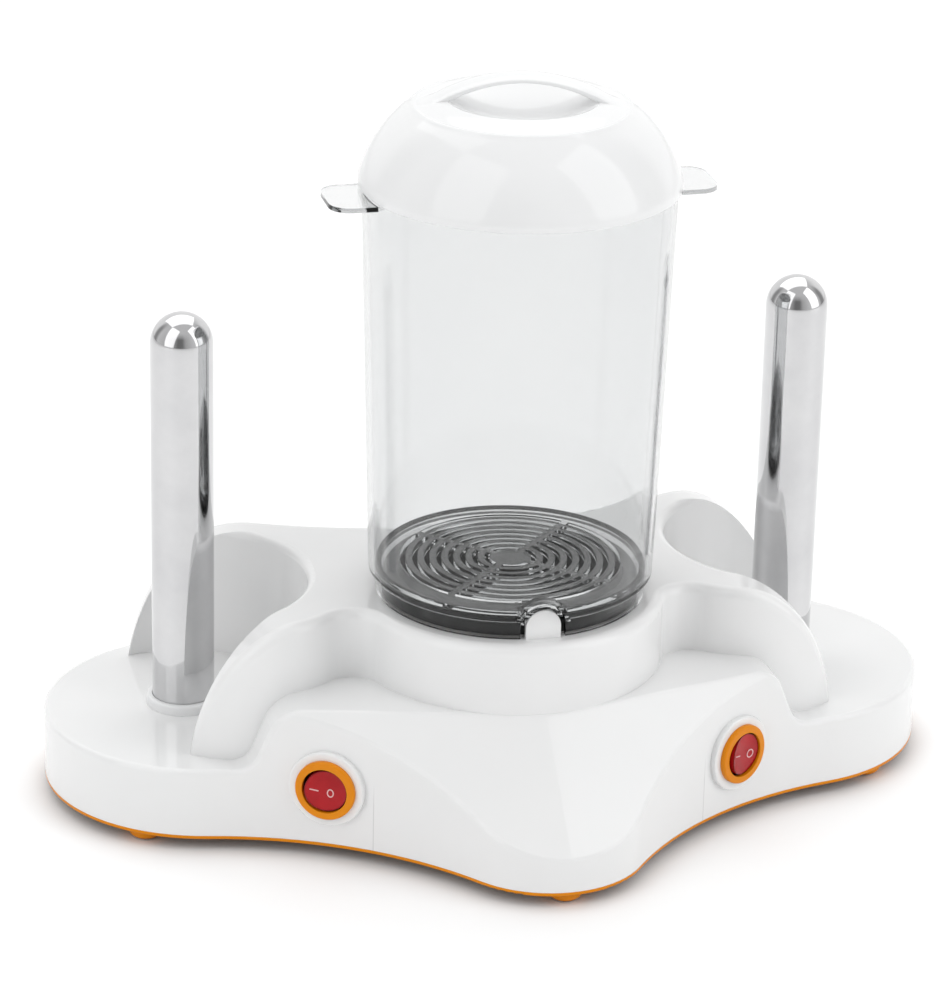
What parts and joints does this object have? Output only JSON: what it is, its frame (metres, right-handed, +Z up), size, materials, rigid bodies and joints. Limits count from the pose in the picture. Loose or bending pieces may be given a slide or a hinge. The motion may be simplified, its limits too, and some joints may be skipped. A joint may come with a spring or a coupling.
{
  "type": "hot dog spike machine",
  "caption": "Countertop hot dog cooker: clear steaming pot with a bridge-handled lid on a soft white base, with heated bun spikes in round trays and rocker switches on the front.",
  "frame": {"origin": "middle of the footprint's bounding box on the table, under the feet", "axes": "+X to the right of someone facing the nose and switches, +Y to the back, +Z up"},
  "size_m": [0.35, 0.196, 0.2915],
  "materials": {
    "housing": "white moulded plastic, satin gloss",
    "lid_plastic": "white moulded plastic, glossy, slightly milky",
    "collar_plastic": "white heat-resistant plastic",
    "orange_plastic": "orange moulded plastic, satin",
    "clear_plastic": "clear colourless plastic, polished",
    "bowl_enamel": "black non-stick coat",
    "spike_metal": "polished, bright",
    "rocker_red": "red translucent plastic, glossy",
    "seal_rubber": "grey silicone",
    "dark_rubber": "black, soft",
    "dark_plastic": "black moulded plastic",
    "terminal_plastic": "natural white plastic",
    "heater_metal": "cast, dull",
    "sheet_steel": "pressed sheet, zinc plated",
    "screw_steel": "zinc plated"
  },
  "bodies": {
    "base": {"base_shell": "housing", "bottom_plate": "orange_plastic", "feet": "orange_plastic", "plate_screws": "screw_steel", "heating_bowl": "bowl_enamel", "bowl_seal": "seal_rubber", "steam_heater": "heater_metal", "heater_clamp": "sheet_steel", "clamp_screws": "screw_steel", "thermostat": "dark_plastic", "thermal_fuse": "sheet_steel", "spike_retainers": "sheet_steel", "retainer_screws": "screw_steel", "terminal_block": "terminal_plastic", "cord_grommet": "dark_rubber", "left_switch_bezel": "orange_plastic", "left_switch_body": "dark_plastic", "left_spike": "spike_metal", "left_spike_collar": "collar_plastic", "left_spike_heater": "heater_metal", "right_switch_bezel": "orange_plastic", "right_switch_body": "dark_plastic", "right_spike": "spike_metal", "right_spike_collar": "collar_plastic", "right_spike_heater": "heater_metal"},
    "pot": {"container": "clear_plastic", "container_floor": "clear_plastic"},
    "lid": {"lid": "lid_plastic"},
    "left_switch_rocker": {"left_rocker": "rocker_red"},
    "right_switch_rocker": {"right_rocker": "rocker_red"}
  },
  "joints": [
    {"name": "pot_lift", "type": "slide", "parent": "base", "child": "pot", "axis": [0, 0, 1], "range_m": [0, 0.12]},
    {"name": "lid_lift", "type": "slide", "parent": "pot", "child": "lid", "axis": [0, 0, 1], "range_m": [0, 0.08]},
    {"name": "left_rocker_tilt", "type": "hinge", "parent": "base", "child": "left_switch_rocker", "pos_m": [-0.07978, -0.04069, 0.0296], "axis": [0, 0, 1], "range_deg": [-14, 0]},
    {"name": "right_rocker_tilt", "type": "hinge", "parent": "base", "child": "right_switch_rocker", "pos_m": [0.07978, -0.04069, 0.0296], "axis": [0, 0, 1], "range_deg": [-14, 0]}
  ]
}
